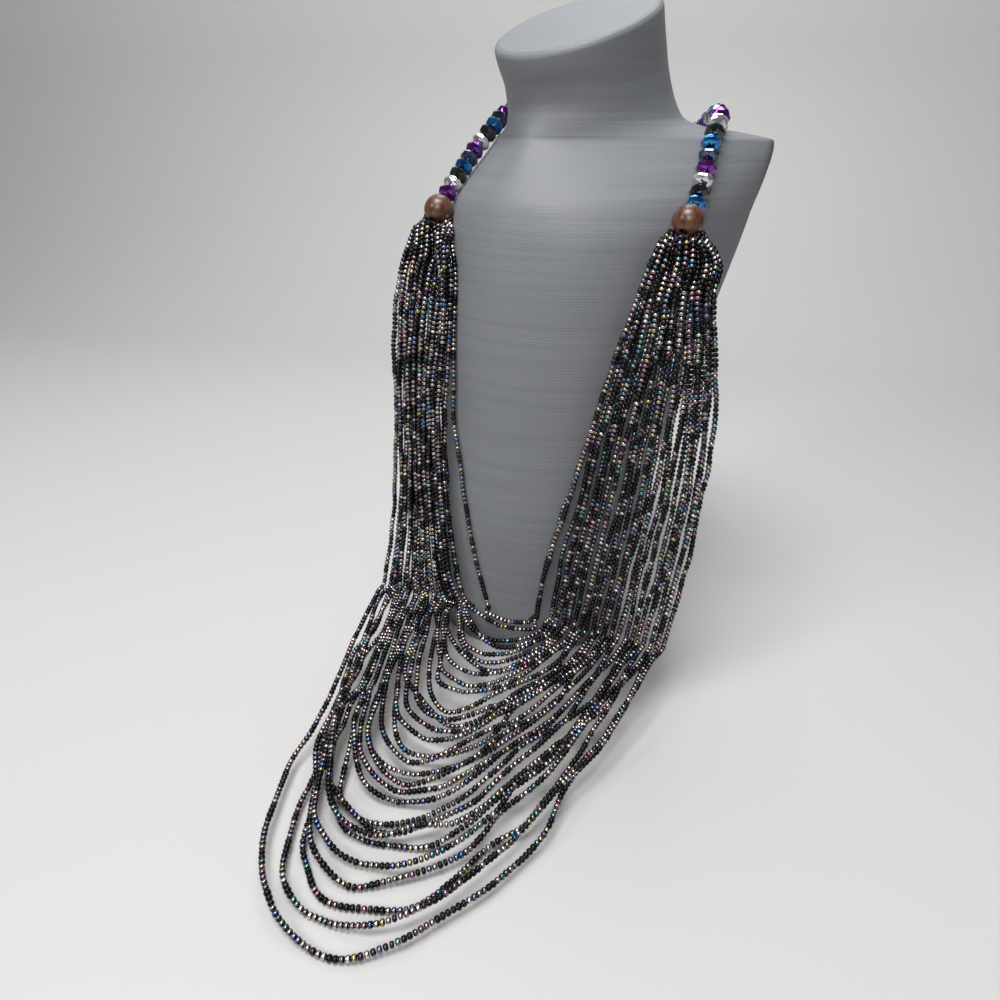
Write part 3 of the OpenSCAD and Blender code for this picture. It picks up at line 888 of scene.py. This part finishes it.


# the coats of the shiny beads, the film over them, and painted shade in dark bands at both ends of a bead,
# where its neighbours would shade it
seedCoats = [
    (0.00, (0.60, 0.50, 0.51)), (0.17, (0.28, 0.22, 0.27)), (0.30, (0.72, 0.60, 0.46)),
    (0.42, (0.09, 0.07, 0.08)), (0.54, (0.30, 0.30, 0.50)), (0.63, (0.95, 0.91, 0.88)),
    (0.74, (0.20, 0.42, 0.46)), (0.80, (0.52, 0.28, 0.38)), (0.86, (0.60, 0.52, 0.26)),
    (0.91, (0.28, 0.46, 0.32)), (0.95, (0.13, 0.26, 0.50)),
]
seedFilm = [(0.35, (0.80, 0.66, 0.86)), (0.50, (1.0, 0.92, 0.86)), (0.65, (0.62, 0.84, 0.95))]
seedLook = {
    "film": 0.45, "endShadeSlope": 2.6, "endShadeShift": 1.05, "endShadeMost": 0.94, "band": (0.008, 0.006, 0.010),
    "dark": (0.003, 0.003, 0.0035), "metallic": 0.92, "roughness": 0.22, "darkRoughness": 0.12,
}


def beadFinish(tree, place):
    tone = tree.add("ShaderNodeAttribute", {"attribute_name": "beadTone"}, out="Fac")
    dark = tree.add("ShaderNodeAttribute", {"attribute_name": "beadDark"}, out="Fac")
    end = tree.add("ShaderNodeAttribute", {"attribute_name": "beadEnd"}, out="Fac")
    coats = tree.ramp(tone, seedCoats, "CONSTANT")
    film = tree.ramp(tree.noise(place, 900.0, 1.0), seedFilm)
    lustre = tree.mixColour(seedLook["film"], coats, film, "MULTIPLY")
    # painted shade: the colour darkens towards both ends of each bead, as if its neighbours shaded it
    band = end * seedLook["endShadeSlope"] - seedLook["endShadeShift"]
    band = band.math("MINIMUM", seedLook["endShadeMost"]).math("MAXIMUM", 0.0)
    lustre = tree.mixColour(band, lustre, colour4(seedLook["band"]))
    return {
        "Base Color": tree.mixColour(dark, lustre, colour4(seedLook["dark"])),
        "Metallic": (1 - dark) * seedLook["metallic"],
        "Roughness": dark * (seedLook["darkRoughness"] - seedLook["roughness"]) + seedLook["roughness"],
    }


# an even curve through random shifts, one for each stretch of the way
def wanderer(seed, length, every):
    chance = random.Random(seed)
    spans = max(2, round(length / every))
    shifts = [Vector(chance.uniform(-1, 1) for _ in range(3)) for _ in range(spans + 1)]
    shifts[0] = shifts[-1] = Vector((0, 0, 0))

    def at(way):
        place = way / length * spans
        first = min(int(place), spans - 1)
        t = place - first
        return shifts[first].lerp(shifts[first + 1], t * t * (3 - 2 * t))
    return at


# the curve through a strand's points, a little uneven, in front of the chest and over the floor
def strandCurve(k):
    points = smoothThrough(strandPath(k), strands["curveSteps"])
    ways = [0.0]
    for a, b in zip(points, points[1:]):
        ways.append(ways[-1] + (b - a).length)
    fine = wanderer(wander["fineSeed"] + k, ways[-1], wander["fineEvery"])
    broad = wanderer(wander["broadSeed"] + k, ways[-1], wander["broadEvery"])
    made = []
    for point, way in zip(points, ways):
        low = min(1, max(0, 1 - point.z / wander["below"]))
        depth = max(0, 1 - point.z / wander["hangingBelow"])
        hanging = wander["hanging"] * min(1, depth * wander["hangingRise"])
        shift = fine(way) * wander["fine"] + broad(way) * wander["broad"] * low * low
        shift += Vector((broad(way).x * hanging, broad(way).y * wander["hangingDepth"], 0)) * (1 - low)
        x = point.x + shift.x
        z = max(point.z + fine(way).z * wander["fine"], lie + wander["overFloor"])
        clear = chestFace(x, z) - landing["slack"] * lie
        made.append(Vector((x, min(point.y + shift.y, clear), z)))
    return made


def cellOf(p):
    return math.floor(p.x / pile["width"]), math.floor(p.y / pile["width"])


# raises the low points of a strand a bead's width over the strands that lie there already
def layOnPile(points, laid):
    width = pile["width"]
    for _ in range(pile["rounds"]):
        for p in points:
            if p.z > pile["below"]:
                continue
            column, row = cellOf(p)
            cells = [(column + dx, row + dy) for dx in (-1, 0, 1) for dy in (-1, 0, 1)]
            near = [q for cell in cells for q in laid.get(cell, ())]
            for q in sorted(near, key=lambda one: one.z):
                flat = (p.x - q.x) ** 2 + (p.y - q.y) ** 2
                if flat < width * width:
                    rise = math.sqrt(width * width - flat)
                    if q.z - rise < p.z < q.z + rise:
                        p.z = q.z + rise
        for way in (points, points[::-1]):
            for a, b in zip(way, way[1:]):
                step = math.hypot(b.x - a.x, b.y - a.y)
                if a.z < pile["slopeBelow"]:
                    b.z = max(b.z, a.z - pile["slope"] * step)
    for p in points:
        laid.setdefault(cellOf(p), []).append(p)


def strandCurves():
    curves = [strandCurve(k) for k in range(strands["count"])]
    order = list(range(strands["count"]))
    random.Random(pile["seed"]).shuffle(order)
    laid = {}
    for k in order:
        layOnPile(curves[k], laid)
    return curves


def edgeChain(name, points):
    mesh = bpy.data.meshes.new(name)
    mesh.from_pydata([p * mm for p in points], [(i, i + 1) for i in range(len(points) - 1)], [])
    chain = bpy.data.objects.new(name, mesh)
    scene.collection.objects.link(chain)
    return chain


def threadBeads(name, points, tree, seed, materials):
    chain = edgeChain(name + "_path", points)
    modifier = chain.modifiers.new("beads", "NODES")
    modifier.node_group = tree
    items = tree.interface.items_tree
    sockets = {item.name: item.identifier for item in items if item.in_out == "INPUT"}
    modifier[sockets["Seed"]] = seed
    modifier[sockets["Bead Material"]] = materials[0]
    modifier[sockets["Thread Material"]] = materials[1]
    settled = chain.evaluated_get(bpy.context.evaluated_depsgraph_get())
    mesh = bpy.data.meshes.new_from_object(settled)
    mesh.name = name
    piece = bpy.data.objects.new(name, mesh)
    scene.collection.objects.link(piece)
    bpy.data.objects.remove(chain)
    return piece


def makeStrands():
    tree = makeBeadTree()
    beadMaterial = makeMaterial("seedBeads", {"Specular IOR Level": 0.3}, beadFinish)
    materials = (beadMaterial, threadMaterial)
    for k, curve in enumerate(strandCurves()):
        seed = seedBead["seed"] + seedBead["seedStep"] * k
        piece = threadBeads(f"seed_strand_{k + 1:02d}", curve, tree, seed, materials)
        settle(piece, "seed_beads", f"strand_{k + 1:02d}")
        if k in (0, lastStrand):
            size = [round(s, 1) for s in piece.dimensions / mm]
            print("strand", k + 1, "has", len(piece.data.polygons), "faces, size", size)
    bpy.data.node_groups.remove(tree)


makeStrands()
print("strands made")


# floor, backdrop and light

stage = {
    "floor": (0.53, 0.53, 0.53), "lighter": 1.02, "half": 1.6, "front": -1.2, "back": 0.42,
    "bend": 0.30, "bendSteps": 16, "height": 1.3, "turnedBack": 12,
}


def floorFinish(tree, place):
    cloud = tree.noise(place, 3.0, 2.0)
    light = tuple(min(1, c * stage["lighter"]) for c in stage["floor"])
    return {"Base Color": tree.ramp(cloud, [(0.3, stage["floor"]), (0.7, light)])}


def makeStage():
    profile = [(stage["front"], 0.0)]
    back, bend, steps = stage["back"], stage["bend"], stage["bendSteps"]
    for n in range(steps + 1):
        turn = math.pi / 2 * n / steps
        profile.append((back + bend * math.sin(turn), bend * (1 - math.cos(turn))))
    profile.append((back + bend, stage["height"]))
    bm = bmesh.new()
    turned = Matrix.Rotation(math.radians(view["turn"] - stage["turnedBack"]), 4, "Z")
    rows = []
    for y, z in profile:
        rows.append([bm.verts.new(turned @ Vector((x, y, z))) for x in (-stage["half"], stage["half"])])
    for low, high in zip(rows, rows[1:]):
        bm.faces.new((low[0], low[1], high[1], high[0]))
    material = makeMaterial("paleSweep", {"Roughness": 0.55}, floorFinish)
    finishPiece(bm, "stage_sweep", material)


# name, place, target, size, power and colour, in metres and watts
lights = [
    ("lightAbove", (0.05, -0.30, 1.15), (0.0, -0.05, 0.05), (0.6, 0.5), 12.0, (1.0, 0.99, 0.98)),
    ("lightRight", (0.50, -0.75, 0.70), (0.0, -0.05, 0.12), (0.3, 0.35), 3.6, (1.0, 0.99, 0.98)),
    ("lightBehind", (-0.25, 0.40, 0.90), (0.0, 0.05, 0.15), (0.4, 0.4), 2.2, (0.97, 0.985, 1.0)),
    ("lightLeft", (-0.35, -0.95, 0.75), (0.0, -0.05, 0.08), (0.22, 0.3), 2.6, (1.0, 0.985, 0.97)),
]
room = {"colour": (0.86, 0.87, 0.90), "strength": 0.12}


def addLight(name, place, target, size, power, colour):
    data = bpy.data.lights.new(name, "AREA")
    data.shape = "RECTANGLE"
    data.size, data.size_y = size
    data.energy = power
    data.color = colour
    lamp = bpy.data.objects.new(name, data)
    lamp.location = place
    lamp.rotation_euler = (Vector(target) - Vector(place)).to_track_quat("-Z", "Y").to_euler()
    scene.collection.objects.link(lamp)


makeStage()
for row in lights:
    addLight(*row)
world = bpy.data.worlds.new("paleRoom")
world.use_nodes = True
background = world.node_tree.nodes["Background"]
background.inputs["Color"].default_value = colour4(room["colour"])
background.inputs["Strength"].default_value = room["strength"]
scene.world = world
scene.view_settings.view_transform = "Standard"
scene.view_settings.look = "None"
print("stage made")
